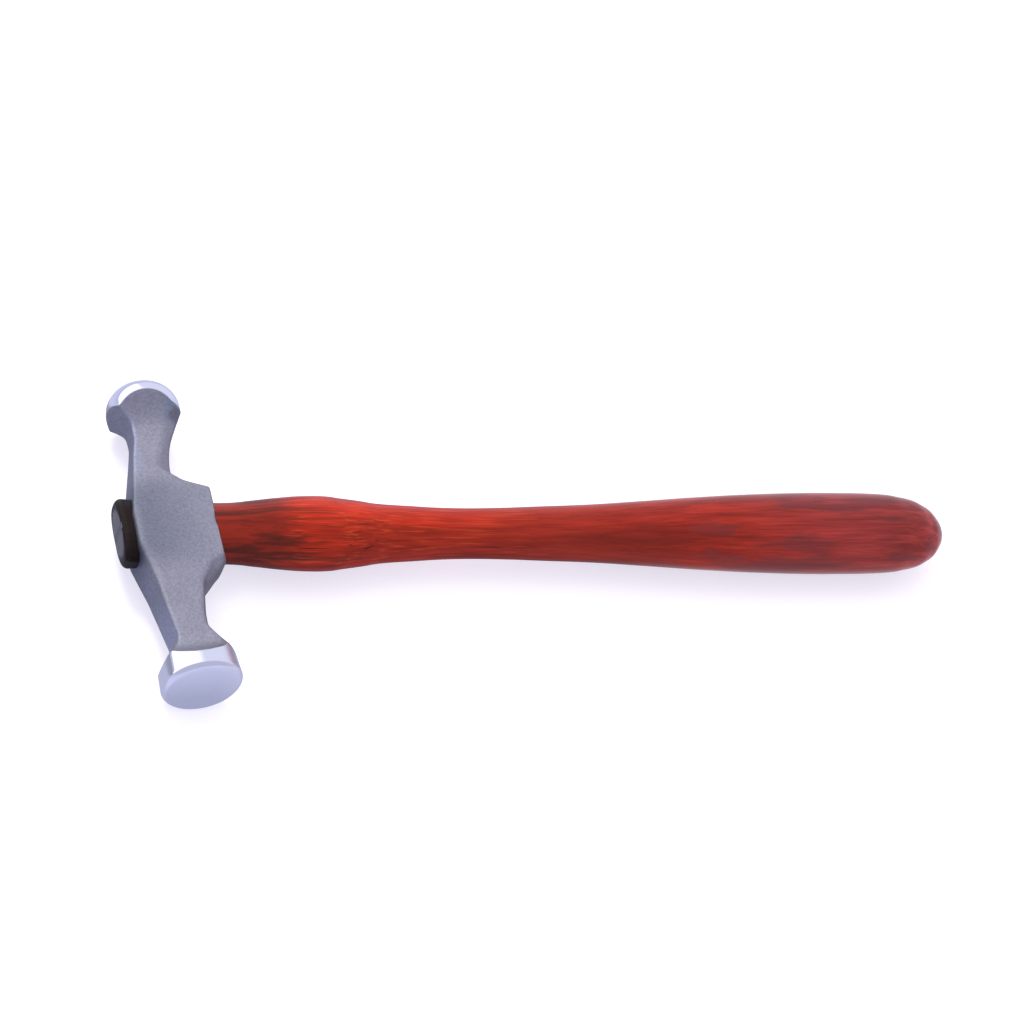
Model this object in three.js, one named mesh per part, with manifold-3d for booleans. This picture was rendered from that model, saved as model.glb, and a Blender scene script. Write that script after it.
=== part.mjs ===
// Planishing hammer, in millimetres: a steel head with one flat and one domed face, on a turned wooden handle.
// It lies on its side. The handle runs along +X from the head to the butt, the domed face looks along +Y,
// and the cheeks of the head face up and down. The origin is under the middle of the hammer, on the floor.
// Until the last step all places are taken from the point where the handle's axis crosses the head's axis.
import * as THREE from "three";
import { mergeVertices } from "three/addons/utils/BufferGeometryUtils.js";
import Module from "manifold-3d";

const wasm = await Module();
wasm.setup();

// The head. Reaches run along the head from the handle's axis, radii and halves are taken from the head's axis.
const HEAD = {
  domeReach: 47.3,
  domeRadius: 9.9,
  domeDepth: 7.6,
  flatReach: 48.2,
  flatRadius: 10.6,
  flatWaistRadius: 10.0,
  flatRimRadius: 1.5,
  barrelRadius: 13.2,
  blockHalf: 10.0,
  cheekHalf: 6.9,
  roofHalf: 10.4,
  endBow: 0.45,
};

// The eye is a tapered oval hole, longer and wider at the roof, so that the wedges lock the tenon in it.
const EYE = { roofLong: 9.9, roofWide: 5.0, handleLong: 8.4, handleWide: 4.2 };

// The handle. Reaches run along it from the head's axis.
const HANDLE = {
  tenonProud: 3.05,
  tenonRound: 1.3,
  shoulderHalf: 8.5,
  swellHalf: 10.6,
  waistHalf: 7.25,
  buttHalf: 12.1,
  buttReach: 230.7,
};

// The timber wedge fills the saw kerf in the tenon. The steel wedge crosses it.
const WEDGE = { timberThick: 2.4, timberTip: 0.9, timberDeep: 17.0, steelThick: 1.9, steelTip: 0.7, steelDeep: 10.0 };

// Gap between pieces that touch, how far a cutting tool reaches past what it cuts, and how near points are one point.
const CLEARANCE = 0.3;
const OVERRUN = 20.0;
const WELD = 1e-5;

// The neck's cheek facets lean towards the roof by this angle. The low edge facets are steeper than 45 degrees.
const NECK_LEAN = THREE.MathUtils.degToRad(9);
const LOW_EDGE_ANGLE = THREE.MathUtils.degToRad(32);
const ARC_STEP = THREE.MathUtils.degToRad(8);

const BLANK_SIDES = 64;
const OVAL_SIDES = 40;

// Outlines of the facets, from the domed end to the flat end. Each corner has the size that its place follows,
// its share of that size, its distance from the head's axis and its fillet, both as shares of the facet's own size.
const roofShares = [
  ["domeReach", 0.981, 1.54, 0],
  ["domeReach", 0.721, 0.484, 0.44],
  ["domeReach", 0.609, 0.473, 0.77],
  ["blockHalf", 0.25, 1, 0.39],
  ["blockHalf", -0.70, 1, 0.77],
  ["blockHalf", -1.95, 0.711, 2.9],
  ["flatReach", -0.745, 0.446, 0.50],
  ["flatReach", -1.03, 1.54, 0],
];
const handleSideShares = [
  ["domeReach", 1.12, 1.21, 0],
  ["domeReach", 0.558, 0.341, 1.5],
  ["blockHalf", 1.80, 0.341, 0.38],
  ["blockHalf", 1.35, 0.47, 0.23],
  ["blockHalf", 0.92, 1.11, 0],
  ["blockHalf", -0.90, 1.11, 0],
  ["blockHalf", -2.14, 0.364, 0.38],
  ["flatReach", -0.686, 0.295, 0.30],
  ["flatReach", -1.045, 1.21, 0],
];
const cheekShares = [
  ["domeReach", 0.92, 2.32, 0],
  ["domeReach", 0.70, 1, 0.72],
  ["flatReach", -0.785, 1, 0.72],
  ["flatReach", -0.975, 2.32, 0],
];
const neckShares = [
  ["domeReach", 0.981, 2.32, 0],
  ["domeReach", 0.738, 0.60, 1.6],
  ["domeReach", 0.504, 0.60, 4.3],
  ["blockHalf", 0.10, 1.22, 2.9],
  ["blockHalf", -0.95, 1.22, 2.9],
  ["flatReach", -0.544, 0.87, 4.3],
  ["flatReach", -0.80, 0.74, 1.2],
  ["flatReach", -1.01, 2.32, 0],
];
const roofEdgeShares = [
  ["blockHalf", 1.40, 1.21, 0],
  ["blockHalf", 0.45, 0.87, 0.45],
  ["blockHalf", -0.75, 0.87, 0.45],
  ["blockHalf", -1.85, 0.70, 1.5],
  ["flatReach", -0.70, 0.575, 0.61],
  ["flatReach", -0.93, 1.21, 0],
];
const handleEdgeShares = [
  ["domeReach", 0.891, 1.21, 0],
  ["domeReach", 0.734, 0.523, 0.23],
  ["blockHalf", 2.15, 0.25, 0.60],
  ["blockHalf", 1.80, 0.26, 0.50],
  ["blockHalf", 1.26, 0.61, 0.15],
  ["blockHalf", 0.90, 1.21, 0],
  ["blockHalf", -0.86, 1.21, 0],
  ["blockHalf", -1.40, 0.75, 0.30],
  ["blockHalf", -1.80, 0.621, 0.45],
  ["flatReach", -0.65, 0.60, 0.61],
  ["flatReach", -0.85, 1.21, 0],
];
const lowEdgeShares = [
  ["blockHalf", -0.80, 1.21, 0],
  ["blockHalf", -1.90, 0.561, 0.30],
  ["flatReach", -0.586, 0.424, 0.91],
  ["flatReach", -0.674, 0.424, 0.30],
  ["flatReach", -1.045, 1.21, 0],
];

// Each facet: the angles at which it is cut, from the handle side round to the cheek, and the size of its outline.
const FACETS = [
  { angles: [Math.PI], size: HEAD.roofHalf, shares: roofShares },
  { angles: [0], size: HEAD.barrelRadius, shares: handleSideShares },
  { angles: [Math.PI / 2, -Math.PI / 2], size: HEAD.cheekHalf, shares: cheekShares },
  { angles: [Math.PI / 2 + NECK_LEAN, -Math.PI / 2 - NECK_LEAN], size: HEAD.cheekHalf, shares: neckShares },
  { angles: [Math.PI * 3 / 4, -Math.PI * 3 / 4], size: HEAD.barrelRadius, shares: roofEdgeShares },
  { angles: [Math.PI / 4, -Math.PI / 4], size: HEAD.barrelRadius, shares: handleEdgeShares },
  { angles: [LOW_EDGE_ANGLE, -LOW_EDGE_ANGLE], size: HEAD.barrelRadius, shares: lowEdgeShares },
];

// The handle's side view, as shares: place along the whole reach, the half-size that the width follows, its share.
const gripShares = [
  [0.067, "shoulderHalf", 1], [0.100, "shoulderHalf", 1.08], [0.133, "swellHalf", 0.945],
  [0.165, "swellHalf", 0.992], [0.183, "swellHalf", 0.992], [0.206, "swellHalf", 0.937],
  [0.230, "swellHalf", 0.870], [0.255, "waistHalf", 1.155], [0.290, "waistHalf", 1.085], [0.350, "waistHalf", 1],
  [0.405, "waistHalf", 1.015], [0.456, "waistHalf", 1.075], [0.520, "waistHalf", 1.155], [0.587, "buttHalf", 0.775],
  [0.667, "buttHalf", 0.882], [0.748, "buttHalf", 0.962], [0.830, "buttHalf", 1], [0.905, "buttHalf", 0.985],
  [0.943, "buttHalf", 0.905], [0.972, "buttHalf", 0.72], [0.988, "buttHalf", 0.475], [0.997, "buttHalf", 0.21],
];
const gripDepthShare = 0.85;

// The eye's ovals are squared by this power of a plain oval's sides.
const eyeSquarenessShare = 0.74;
const gripStartShare = 0.45;
const buttTipShare = 0.001;
const buttTipHalfShare = 0.003;

// The domed face's side view rises a little more fully than a quarter of an oval.
const domeFullnessShare = 0.8;

// Where the turned blank changes: its thin place by the flat end as a share of the reach, the ends of the barrel and
// the start of the domed end as shares of the block's half.
const flatWaistShare = 0.80;
const barrelEndShare = 2.5;
const domeStartShare = 3.0;

// Corners with fillets become points: each fillet is an arc tangent to the two lines that meet there.
function filleted(corners) {
  const points = [];
  corners.forEach(([x, y, radius], index) => {
    const corner = new THREE.Vector2(x, y);
    const before = corners[index - 1];
    const after = corners[index + 1];
    if (!radius || !before || !after) {
      points.push(corner);
      return;
    }
    const back = new THREE.Vector2(before[0], before[1]).sub(corner);
    const ahead = new THREE.Vector2(after[0], after[1]).sub(corner);
    const room = Math.min(back.length(), ahead.length()) / 2;
    back.normalize();
    ahead.normalize();
    const half = Math.acos(THREE.MathUtils.clamp(back.dot(ahead), -1, 1)) / 2;
    const leg = Math.min(radius / Math.tan(half), room);
    const turned = leg * Math.tan(half);
    const centre = back.clone().add(ahead).normalize().multiplyScalar(turned / Math.sin(half)).add(corner);
    const start = back.clone().multiplyScalar(leg).add(corner).sub(centre);
    const sweep = Math.PI - 2 * half;
    const sense = Math.sign(back.cross(ahead));
    const steps = Math.max(1, Math.ceil(sweep / ARC_STEP));
    for (let step = 0; step <= steps; step += 1) {
      points.push(start.clone().rotateAround(new THREE.Vector2(), -sense * sweep * step / steps).add(centre));
    }
  });
  return points;
}

// A closed three.js geometry, placed by a matrix, becomes a solid that can be joined and cut.
function solid(geometry, matrix = new THREE.Matrix4()) {
  const bare = geometry.index ? geometry.toNonIndexed() : geometry.clone();
  bare.deleteAttribute("normal");
  bare.deleteAttribute("uv");
  bare.applyMatrix4(matrix);
  const merged = mergeVertices(bare, WELD);
  return new wasm.Manifold(new wasm.Mesh({
    numProp: 3,
    vertProperties: new Float32Array(merged.attributes.position.array),
    triVerts: new Uint32Array(merged.index.array),
  }));
}

function geometryOf(manifold) {
  const mesh = manifold.getMesh();
  const geometry = new THREE.BufferGeometry();
  geometry.setAttribute("position", new THREE.BufferAttribute(new Float32Array(mesh.vertProperties), 3));
  geometry.setIndex(new THREE.BufferAttribute(new Uint32Array(mesh.triVerts), 1));
  geometry.computeVertexNormals();
  return geometry;
}

// What is kept under one facet: its outline along the head, carried right through the head at an angle.
function facetTool({ size, shares }, angle) {
  const corners = shares.map(([anchor, place, distance, fillet]) => [
    distance * size, place * HEAD[anchor], fillet * size]);
  const far = -2 * HEAD.barrelRadius;
  const first = corners[0];
  const last = corners[corners.length - 1];
  const top = Math.max(first[1], HEAD.domeReach + OVERRUN);
  const bottom = Math.min(last[1], -HEAD.flatReach - OVERRUN);
  const outline = [
    new THREE.Vector2(first[0], top),
    ...filleted(corners),
    new THREE.Vector2(last[0], bottom),
    new THREE.Vector2(far, bottom),
    new THREE.Vector2(far, top),
  ];
  const depth = 4 * HEAD.barrelRadius;
  const geometry = new THREE.ExtrudeGeometry(new THREE.Shape(outline), { depth, bevelEnabled: false });
  const place = new THREE.Matrix4().makeRotationY(-angle)
    .multiply(new THREE.Matrix4().makeTranslation(0, 0, -depth / 2));
  return solid(geometry, place);
}

// The turned blank: flat face with a rounded rim, thick barrel in the middle, domed face.
function blank() {
  const { domeReach, domeRadius, domeDepth, flatReach, flatRadius, flatWaistRadius, flatRimRadius } = HEAD;
  const { barrelRadius, blockHalf } = HEAD;
  const rimSteps = 5;
  const domeSteps = 14;
  const profile = [new THREE.Vector2(0, -flatReach)];
  for (let step = 0; step <= rimSteps; step += 1) {
    const angle = Math.PI / 2 * step / rimSteps;
    profile.push(new THREE.Vector2(
      flatRadius - flatRimRadius * (1 - Math.sin(angle)), -flatReach + flatRimRadius * (1 - Math.cos(angle))));
  }
  profile.push(new THREE.Vector2(flatWaistRadius, -flatWaistShare * flatReach));
  profile.push(new THREE.Vector2(barrelRadius, -barrelEndShare * blockHalf));
  profile.push(new THREE.Vector2(barrelRadius, barrelEndShare * blockHalf));
  profile.push(new THREE.Vector2(domeRadius, domeStartShare * blockHalf));
  for (let step = 0; step < domeSteps; step += 1) {
    const angle = Math.PI / 2 * step / domeSteps;
    profile.push(new THREE.Vector2(
      domeRadius * Math.cos(angle) ** domeFullnessShare, domeReach - domeDepth + domeDepth * Math.sin(angle)));
  }
  profile.push(new THREE.Vector2(0, domeReach));
  return solid(new THREE.LatheGeometry(profile, BLANK_SIDES));
}

// Both ends bow a little towards the handle: sections move along a steep curve and turn square to it.
function bowed(manifold) {
  const geometry = geometryOf(manifold);
  const position = geometry.attributes.position;
  for (let index = 0; index < position.count; index += 1) {
    const x = position.getX(index);
    const y = position.getY(index);
    const along = y / HEAD.flatReach;
    const slope = 4 * HEAD.endBow * along ** 3 / HEAD.flatReach;
    position.setX(index, x + HEAD.endBow * along ** 4);
    position.setY(index, y - slope * x);
  }
  return solid(geometry);
}

function squared(value, power) {
  return Math.sign(value) * Math.abs(value) ** power;
}

// A body through oval rings. Each ring: half-size along the head, half-size through it, place along the handle.
// A power of 1 gives plain ovals, and a lower one squares them.
function ovalLoft(rings, power = 1) {
  const position = [];
  const index = [];
  rings.forEach(([long, wide, x]) => {
    for (let side = 0; side < OVAL_SIDES; side += 1) {
      const angle = 2 * Math.PI * side / OVAL_SIDES;
      position.push(x, long * squared(Math.cos(angle), power), wide * squared(Math.sin(angle), power));
    }
  });
  for (let ring = 0; ring < rings.length - 1; ring += 1) {
    for (let side = 0; side < OVAL_SIDES; side += 1) {
      const a = ring * OVAL_SIDES + side;
      const b = ring * OVAL_SIDES + (side + 1) % OVAL_SIDES;
      const c = a + OVAL_SIDES;
      const d = b + OVAL_SIDES;
      index.push(a, b, d, a, d, c);
    }
  }
  const lastRing = (rings.length - 1) * OVAL_SIDES;
  const near = rings.length * OVAL_SIDES;
  position.push(rings[0][2], 0, 0, rings[rings.length - 1][2], 0, 0);
  for (let side = 0; side < OVAL_SIDES; side += 1) {
    const next = (side + 1) % OVAL_SIDES;
    index.push(near, next, side, near + 1, lastRing + side, lastRing + next);
  }
  const geometry = new THREE.BufferGeometry();
  geometry.setAttribute("position", new THREE.Float32BufferAttribute(position, 3));
  geometry.setIndex(index);
  return solid(geometry);
}

// Half-sizes of the eye at a place along the handle, less a gap.
function eyeRing(x, gap) {
  const across = (x + HEAD.roofHalf) / (HEAD.roofHalf + HEAD.barrelRadius);
  return [
    THREE.MathUtils.lerp(EYE.roofLong, EYE.handleLong, across) - gap,
    THREE.MathUtils.lerp(EYE.roofWide, EYE.handleWide, across) - gap,
    x,
  ];
}

const eye = ovalLoft([
  eyeRing(-HEAD.roofHalf - OVERRUN / 2, 0),
  eyeRing(HEAD.barrelRadius + OVERRUN / 2, 0),
], eyeSquarenessShare);

function makeHead() {
  let body = blank();
  for (const facet of FACETS) {
    for (const angle of facet.angles) {
      body = body.intersect(facetTool(facet, angle));
    }
  }
  return bowed(body).subtract(eye);
}

const tenonEnd = -HEAD.roofHalf - HANDLE.tenonProud;

// A wedge driven along +X into the tenon's end. Its thick end is at the tenon's end and its tip lies deep inside.
function wedge(thick, tip, wide, deep, grow, turned) {
  const past = grow ? OVERRUN : 0;
  const start = tenonEnd - past;
  const open = (thick - tip) / (2 * deep) * past;
  const end = tenonEnd + deep + grow;
  const outline = new THREE.Shape([
    new THREE.Vector2(start, -thick / 2 - open - grow),
    new THREE.Vector2(end, -tip / 2 - grow),
    new THREE.Vector2(end, tip / 2 + grow),
    new THREE.Vector2(start, thick / 2 + open + grow),
  ]);
  const depth = 2 * wide + 2 * grow;
  const geometry = new THREE.ExtrudeGeometry(outline, { depth, bevelEnabled: false });
  const place = new THREE.Matrix4().makeRotationX(turned)
    .multiply(new THREE.Matrix4().makeTranslation(0, 0, -depth / 2));
  return solid(geometry, place);
}

const steelWide = EYE.roofWide - CLEARANCE - WEDGE.steelTip;

function timberWedge(grow) {
  return wedge(WEDGE.timberThick, WEDGE.timberTip, 2 * EYE.roofLong, WEDGE.timberDeep, grow, Math.PI / 2);
}

function steelWedge(grow) {
  return wedge(WEDGE.steelThick, WEDGE.steelTip, steelWide, WEDGE.steelDeep, grow, 0);
}

// The tenon fills the eye and stands proud of the roof with a rounded end.
function tenon() {
  const rings = [];
  const roundSteps = 4;
  for (let step = 0; step <= roundSteps; step += 1) {
    const angle = Math.PI / 2 * step / roundSteps;
    const [long, wide, x] = eyeRing(tenonEnd + HANDLE.tenonRound * (1 - Math.cos(angle)), CLEARANCE);
    const inset = HANDLE.tenonRound * (1 - Math.sin(angle));
    rings.push([long - inset, wide - inset, x]);
  }
  rings.push(eyeRing(HEAD.barrelRadius + HANDLE.tenonProud, CLEARANCE));
  return ovalLoft(rings, eyeSquarenessShare);
}

// The grip swells behind the head, narrows to a waist and grows into a round butt. Its shoulder fits the barrel.
function grip() {
  const points = gripShares.map(([place, anchor, width]) => new THREE.Vector2(
    place * HANDLE.buttReach, width * HANDLE[anchor]));
  const first = points[0];
  points.unshift(new THREE.Vector2(gripStartShare * first.x, first.y));
  const rings = points.map((point) => [point.x, point.y]);
  rings.push([(1 - buttTipShare) * HANDLE.buttReach, buttTipHalfShare * HANDLE.buttReach]);
  const body = ovalLoft(rings.map(([x, half]) => [half, half * gripDepthShare, x]));
  const barrel = new THREE.CylinderGeometry(
    HEAD.barrelRadius + CLEARANCE, HEAD.barrelRadius + CLEARANCE, 4 * HEAD.barrelRadius, BLANK_SIDES);
  return body.subtract(solid(barrel));
}

function makeHandle() {
  return tenon().add(grip()).subtract(timberWedge(CLEARANCE)).subtract(steelWedge(CLEARANCE));
}

const hammer = new THREE.Group();
function add(name, manifold, color, roughness, metalness) {
  const mesh = new THREE.Mesh(
    geometryOf(manifold), new THREE.MeshStandardMaterial({ color, roughness, metalness }));
  mesh.name = name;
  hammer.add(mesh);
}
add("head", makeHead(), 0xa7a5b8, 0.35, 1.0);
add("handle", makeHandle(), 0x9a2f1c, 0.35, 0.0);
add("timber_wedge", tenon().intersect(timberWedge(0)).subtract(steelWedge(CLEARANCE)), 0x6b3a22, 0.6, 0.0);
add("steel_wedge", steelWedge(0), 0x8d8f96, 0.45, 1.0);

const box = new THREE.Box3().setFromObject(hammer);
hammer.position.set(-(box.min.x + box.max.x) / 2, -(box.min.y + box.max.y) / 2, -box.min.z);

export default hammer;
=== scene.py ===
"""Planishing hammer: finely shaped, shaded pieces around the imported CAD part, and the studio it is shown in.

The hammer lies on a white floor. The handle runs along +X from the head to the butt, the domed face looks
along +Y and the cheeks of the head face up and down. Shapes are worked out in millimetres from the working
origin, the point where the handle's axis crosses the head's axis, and are placed in the frame in metres at
the end.
"""

from __future__ import annotations

import logging
import math
from dataclasses import dataclass
from enum import Enum

import bpy
import numpy as np
from mathutils import Matrix, Vector

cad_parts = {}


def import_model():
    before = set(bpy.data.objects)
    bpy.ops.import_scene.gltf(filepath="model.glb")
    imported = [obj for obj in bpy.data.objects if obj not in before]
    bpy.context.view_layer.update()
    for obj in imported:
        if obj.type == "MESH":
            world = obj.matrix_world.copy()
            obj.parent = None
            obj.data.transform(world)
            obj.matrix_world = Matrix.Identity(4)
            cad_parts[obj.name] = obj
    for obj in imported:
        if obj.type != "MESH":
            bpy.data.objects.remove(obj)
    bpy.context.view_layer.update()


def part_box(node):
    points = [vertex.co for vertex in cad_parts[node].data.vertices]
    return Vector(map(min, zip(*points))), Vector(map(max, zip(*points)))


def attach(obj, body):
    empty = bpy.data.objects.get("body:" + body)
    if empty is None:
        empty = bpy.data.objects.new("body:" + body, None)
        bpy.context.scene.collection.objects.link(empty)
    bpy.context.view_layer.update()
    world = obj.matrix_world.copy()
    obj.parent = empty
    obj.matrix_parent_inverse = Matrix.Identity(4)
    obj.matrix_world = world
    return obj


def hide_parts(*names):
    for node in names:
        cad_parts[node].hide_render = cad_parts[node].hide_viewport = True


LOG = logging.getLogger("planishing_hammer")
MM = 0.001
Colour = tuple[float, float, float]
Object, Material, Socket = bpy.types.Object, bpy.types.Material, bpy.types.NodeSocket


class Piece(Enum):
    """The CAD nodes of the hammer, which the new pieces take the place of."""

    HEAD = "head"
    HANDLE = "handle"
    TIMBER_WEDGE = "timber_wedge"
    STEEL_WEDGE = "steel_wedge"


class Slot(Enum):
    """Names of the hammer's materials."""

    HEAD_STEEL = "head_steel"
    HANDLE_WOOD = "handle_wood"
    WEDGE_WOOD = "wedge_wood"
    WEDGE_STEEL = "wedge_steel"


class Cut(Enum):
    """What a boolean does with its tool."""

    TAKE_AWAY = "DIFFERENCE"
    JOIN = "UNION"
    KEEP = "INTERSECT"


class Anchor(Enum):
    """The head's sizes that places along it follow. Those at the flat end have negative shares."""

    DOME = "dome_reach"
    BLOCK = "block_half"
    FLAT = "flat_reach"


@dataclass(frozen=True)
class HeadSizes:
    """Sizes of the head in millimetres. Reaches run along it from the handle's axis."""

    dome_reach: float = 47.3
    dome_radius: float = 9.9
    dome_depth: float = 7.6
    dome_fullness_share: float = 0.8
    flat_reach: float = 48.2
    flat_radius: float = 10.6
    flat_waist_radius: float = 10.0
    flat_waist_share: float = 0.80
    flat_rim_radius: float = 1.5
    flat_rim_reach: float = 1.5
    polish_start_share: float = 0.80
    barrel_radius: float = 13.2
    barrel_end_share: float = 2.5
    dome_start_share: float = 3.0
    block_half: float = 10.0
    cheek_half: float = 6.9
    roof_half: float = 10.4
    end_bow: float = 0.45
    neck_lean: float = math.radians(9)
    low_edge_angle: float = math.radians(32)
    edge_softness: float = 1.1
    neck_softness: float = 1.6
    rim_softness: float = 0.05


@dataclass(frozen=True)
class EyeSizes:
    """The tapered oval eye: half-sizes at the roof and on the handle's side, and the fits of what is in it.

    The CAD part keeps an even gap. Here the driven fits are drawn tighter, as they are on the tool.
    """

    roof_long: float = 9.9
    roof_wide: float = 5.0
    handle_long: float = 8.4
    handle_wide: float = 4.2
    gap: float = 0.3
    fit: float = 0.05
    squareness: float = 0.74


@dataclass(frozen=True)
class HandleSizes:
    """Sizes of the handle in millimetres. Places along it are taken from the head's axis."""

    tenon_proud: float = 3.05
    tenon_round: float = 1.7
    shoulder_half: float = 8.5
    swell_half: float = 10.6
    waist_half: float = 7.25
    butt_half: float = 12.1
    butt_reach: float = 230.7
    depth_share: float = 0.85


HEAD = HeadSizes()
EYE = EyeSizes()
HANDLE = HandleSizes()
TENON_END = -HEAD.roof_half - HANDLE.tenon_proud
CREASE = math.radians(45)
RIGHT = math.pi / 2
FAR = 10 * HEAD.barrel_radius
FILLET_STEPS = 16
BOW_POWER = 4
BOW_PASSES = 4
TENON_SIDES = 160
TENON_RINGS = 24
TENON_ROUND_RINGS = 10


@dataclass(frozen=True)
class Facet:
    """One ground facet: angles round the head, the size its outline follows, and the outline's corners.

    Each corner has the size that its place follows, its share of that size, its distance from the head's axis
    and its fillet, both as shares of the facet's own size.
    """

    angles: tuple[float, ...]
    size: float
    softness: float
    corner_shares: tuple[tuple[Anchor, float, float, float], ...]

    def distance(self, along: np.ndarray) -> np.ndarray:
        """Distance of the facet from the head's axis.

        Args:
            along: places along the head.

        Returns:
            The distance at each place.
        """
        corners = [
            (place * getattr(HEAD, anchor.value), distance * self.size, fillet * self.size)
            for anchor, place, distance, fillet in self.corner_shares
        ]
        outline = np.array(filleted(corners))[::-1]
        return np.interp(along, outline[:, 0], outline[:, 1])


def filleted(corners: list[tuple[float, float, float]]) -> list[tuple[float, float]]:
    """Rounds the corners of an open outline.

    Args:
        corners: place, distance and fillet radius of each corner.

    Returns:
        Points along the rounded outline.
    """
    points: list[tuple[float, float]] = []
    for index, (place, distance, radius) in enumerate(corners):
        corner = Vector((place, distance))
        if radius == 0 or index in (0, len(corners) - 1):
            points.append(tuple(corner))
            continue
        back = Vector(corners[index - 1][:2]) - corner
        ahead = Vector(corners[index + 1][:2]) - corner
        room = min(back.length, ahead.length) / 2
        back.normalize()
        ahead.normalize()
        half = math.acos(max(-1.0, min(1.0, back.dot(ahead)))) / 2
        leg = min(radius / math.tan(half), room)
        centre = corner + (back + ahead).normalized() * leg / math.cos(half)
        start = corner + back * leg - centre
        sweep = math.pi - 2 * half
        sense = 1 if back.x * ahead.y - back.y * ahead.x > 0 else -1
        for step in range(FILLET_STEPS + 1):
            turn = Matrix.Rotation(-sense * sweep * step / FILLET_STEPS, 2)
            points.append(tuple(turn @ start + centre))
    return points


D, B, F = Anchor.DOME, Anchor.BLOCK, Anchor.FLAT

ROOF_SHARES = (
    (D, 0.981, 1.54, 0), (D, 0.721, 0.484, 0.44), (D, 0.609, 0.473, 0.77), (B, 0.25, 1, 0.39),
    (B, -0.70, 1, 0.77), (B, -1.95, 0.711, 2.9), (F, -0.745, 0.446, 0.50), (F, -1.03, 1.54, 0),
)
HANDLE_SIDE_SHARES = (
    (D, 1.12, 1.21, 0), (D, 0.558, 0.341, 1.5), (B, 1.80, 0.341, 0.9), (B, 1.35, 0.47, 0.8),
    (B, 0.92, 1.11, 0), (B, -0.90, 1.11, 0), (B, -2.14, 0.364, 0.38), (F, -0.686, 0.295, 0.30),
    (F, -1.045, 1.21, 0),
)
CHEEK_SHARES = (
    (D, 0.92, 2.32, 0), (D, 0.70, 1, 0.72), (F, -0.785, 1, 0.72), (F, -0.975, 2.32, 0),
)
NECK_SHARES = (
    (D, 0.981, 2.32, 0), (D, 0.738, 0.60, 1.6), (D, 0.504, 0.60, 4.3), (B, 0.10, 1.22, 2.9),
    (B, -0.95, 1.22, 2.9), (F, -0.544, 0.87, 4.3), (F, -0.80, 0.74, 1.2), (F, -1.01, 2.32, 0),
)
ROOF_EDGE_SHARES = (
    (B, 1.40, 1.21, 0), (B, 0.45, 0.87, 0.45), (B, -0.75, 0.87, 0.45), (B, -1.85, 0.70, 1.5),
    (F, -0.70, 0.575, 0.61), (F, -0.93, 1.21, 0),
)
HANDLE_EDGE_SHARES = (
    (D, 0.891, 1.21, 0), (D, 0.734, 0.523, 0.23), (B, 2.15, 0.25, 0.60), (B, 1.80, 0.26, 0.80),
    (B, 1.26, 0.61, 0.60), (B, 0.90, 1.21, 0), (B, -0.86, 1.21, 0), (B, -1.40, 0.75, 0.30),
    (B, -1.80, 0.621, 0.45), (F, -0.65, 0.60, 0.61), (F, -0.85, 1.21, 0),
)
LOW_EDGE_SHARES = (
    (B, -0.80, 1.21, 0), (B, -1.90, 0.561, 0.30), (F, -0.586, 0.424, 0.91), (F, -0.674, 0.424, 0.30),
    (F, -1.045, 1.21, 0),
)

EDGE, LEAN, LOW = HEAD.edge_softness, RIGHT + HEAD.neck_lean, HEAD.low_edge_angle
FACETS = (
    Facet((RIGHT, -RIGHT), HEAD.cheek_half, EDGE, CHEEK_SHARES),
    Facet((LEAN, -LEAN), HEAD.cheek_half, HEAD.neck_softness, NECK_SHARES),
    Facet((math.pi,), HEAD.roof_half, EDGE, ROOF_SHARES),
    Facet((0.0,), HEAD.barrel_radius, EDGE, HANDLE_SIDE_SHARES),
    Facet((1.5 * RIGHT, -1.5 * RIGHT), HEAD.barrel_radius, EDGE, ROOF_EDGE_SHARES),
    Facet((RIGHT / 2, -RIGHT / 2), HEAD.barrel_radius, EDGE, HANDLE_EDGE_SHARES),
    Facet((LOW, -LOW), HEAD.barrel_radius, EDGE, LOW_EDGE_SHARES),
)

# The grip's side view: the half-size that the width follows, then places along the reach and its shares.
GRIP_SHARES = {
    "shoulder_half": ((0.030, 1), (0.067, 1), (0.100, 1.08)),
    "swell_half": ((0.133, 0.945), (0.165, 0.992), (0.183, 0.992), (0.206, 0.937), (0.230, 0.870)),
    "waist_half": (
        (0.255, 1.155), (0.290, 1.085), (0.350, 1), (0.405, 1.015), (0.456, 1.075), (0.520, 1.155)),
    "butt_half": (
        (0.587, 0.775), (0.667, 0.882), (0.748, 0.962), (0.830, 1), (0.905, 0.985), (0.943, 0.905),
        (0.972, 0.72), (0.988, 0.475), (0.997, 0.21), (1.0, 0)),
}


def soft_least(first: np.ndarray, second: np.ndarray, softness: float) -> np.ndarray:
    """The lesser of two values, blended where they are close.

    Args:
        first: one set of values.
        second: the other set.
        softness: how far apart two values stop blending.

    Returns:
        The blended least value.
    """
    near = np.maximum(softness - np.abs(first - second), 0) / softness
    return np.minimum(first, second) - near * near * softness / 4


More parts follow.
